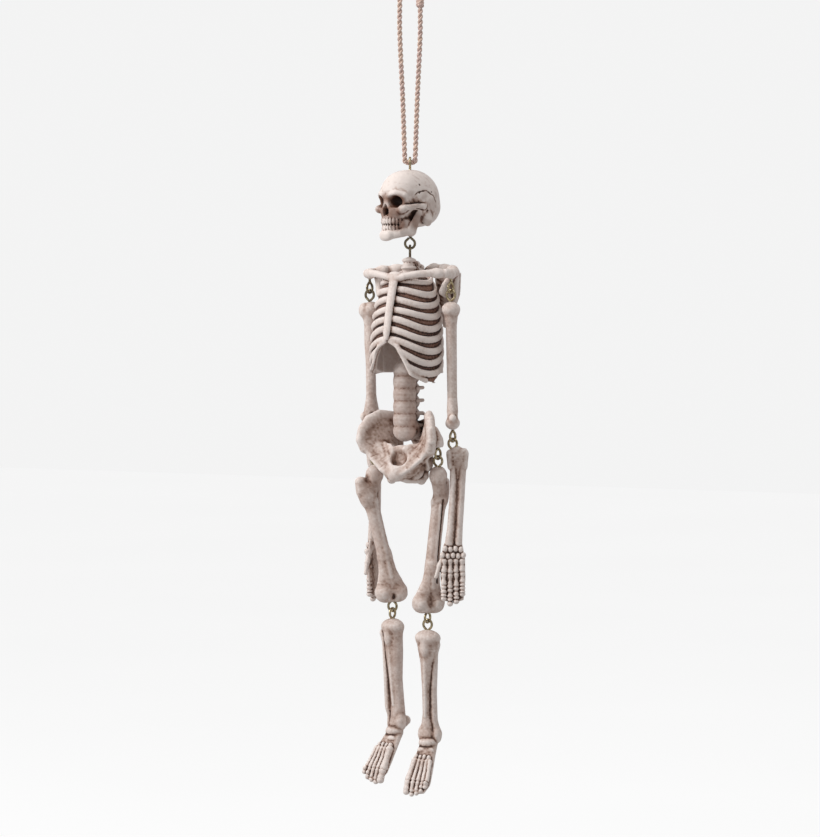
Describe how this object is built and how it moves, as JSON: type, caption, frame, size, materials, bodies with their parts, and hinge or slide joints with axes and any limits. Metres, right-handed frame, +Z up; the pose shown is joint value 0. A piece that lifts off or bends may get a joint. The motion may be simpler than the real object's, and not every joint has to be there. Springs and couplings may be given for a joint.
{
  "type": "hanging skeleton model",
  "caption": "Small hanging human skeleton: cast bones linked by pairs of interlocked screw eyes so the limbs swing, hung by a cord loop from an eye in the skull.",
  "frame": {"origin": "where the cord loop bears on the hook or peg it hangs from", "axes": "+Z up, the skeleton faces -Y, its left side is +X"},
  "size_m": [0.0481, 0.032, 0.3297],
  "materials": {
    "bone": "cast resin painted aged ivory, brown wash in the recesses",
    "screw_eye": "dull antique bronze wire",
    "cord": "soft twisted two-strand cord"
  },
  "bodies": {
    "cord": {"cord_loop": "cord", "cord_knot": "cord"},
    "skull": {"skull": "bone", "crown_eye": "screw_eye", "neck_upper_eye": "screw_eye"},
    "torso": {"torso": "bone", "neck_lower_eye": "screw_eye", "left_shoulder_upper_eye": "screw_eye", "right_shoulder_upper_eye": "screw_eye", "left_hip_upper_eye": "screw_eye", "right_hip_upper_eye": "screw_eye"},
    "left_upper_arm": {"left_upper_arm": "bone", "left_shoulder_lower_eye": "screw_eye", "left_elbow_upper_eye": "screw_eye"},
    "left_forearm": {"left_forearm_hand": "bone", "left_elbow_lower_eye": "screw_eye"},
    "left_thigh": {"left_thigh": "bone", "left_hip_lower_eye": "screw_eye", "left_knee_upper_eye": "screw_eye"},
    "left_lower_leg": {"left_lower_leg_foot": "bone", "left_knee_lower_eye": "screw_eye"},
    "right_upper_arm": {"right_upper_arm": "bone", "right_shoulder_lower_eye": "screw_eye", "right_elbow_upper_eye": "screw_eye"},
    "right_forearm": {"right_forearm_hand": "bone", "right_elbow_lower_eye": "screw_eye"},
    "right_thigh": {"right_thigh": "bone", "right_hip_lower_eye": "screw_eye", "right_knee_upper_eye": "screw_eye"},
    "right_lower_leg": {"right_lower_leg_foot": "bone", "right_knee_lower_eye": "screw_eye"}
  },
  "joints": [
    {"name": "skull_swing", "type": "hinge", "parent": "cord", "child": "skull", "pos_m": [0, 0, -0.07515], "axis": [0.848, 0.5299, 0], "range_deg": [-40, 40]},
    {"name": "neck_swing", "type": "hinge", "parent": "skull", "child": "torso", "pos_m": [0, 0, -0.10952], "axis": [0.848, 0.5299, 0], "range_deg": [-45, 45]},
    {"name": "left_shoulder_swing", "type": "hinge", "parent": "torso", "child": "left_upper_arm", "pos_m": [0.0191, 0, -0.12723], "axis": [0, -1, 0], "range_deg": [0, 80]},
    {"name": "left_elbow_swing", "type": "hinge", "parent": "left_upper_arm", "child": "left_forearm", "pos_m": [0.0191, 0.0015, -0.18632], "axis": [0, -1, 0], "range_deg": [0, 75]},
    {"name": "left_hip_swing", "type": "hinge", "parent": "torso", "child": "left_thigh", "pos_m": [0.0148, -0.0027, -0.19198], "axis": [1, 0, 0], "range_deg": [-50, 5]},
    {"name": "left_knee_swing", "type": "hinge", "parent": "left_thigh", "child": "left_lower_leg", "pos_m": [0.0083, 0, -0.25757], "axis": [1, 0, 0], "range_deg": [-70, 70]},
    {"name": "right_shoulder_swing", "type": "hinge", "parent": "torso", "child": "right_upper_arm", "pos_m": [-0.0191, 0, -0.12723], "axis": [0, 1, 0], "range_deg": [0, 80]},
    {"name": "right_elbow_swing", "type": "hinge", "parent": "right_upper_arm", "child": "right_forearm", "pos_m": [-0.0191, 0.0015, -0.18632], "axis": [0, 1, 0], "range_deg": [0, 75]},
    {"name": "right_hip_swing", "type": "hinge", "parent": "torso", "child": "right_thigh", "pos_m": [-0.0148, -0.0027, -0.19198], "axis": [1, 0, 0], "range_deg": [-50, 5]},
    {"name": "right_knee_swing", "type": "hinge", "parent": "right_thigh", "child": "right_lower_leg", "pos_m": [-0.0083, 0, -0.25503], "axis": [1, 0, 0], "range_deg": [-70, 70]}
  ]
}
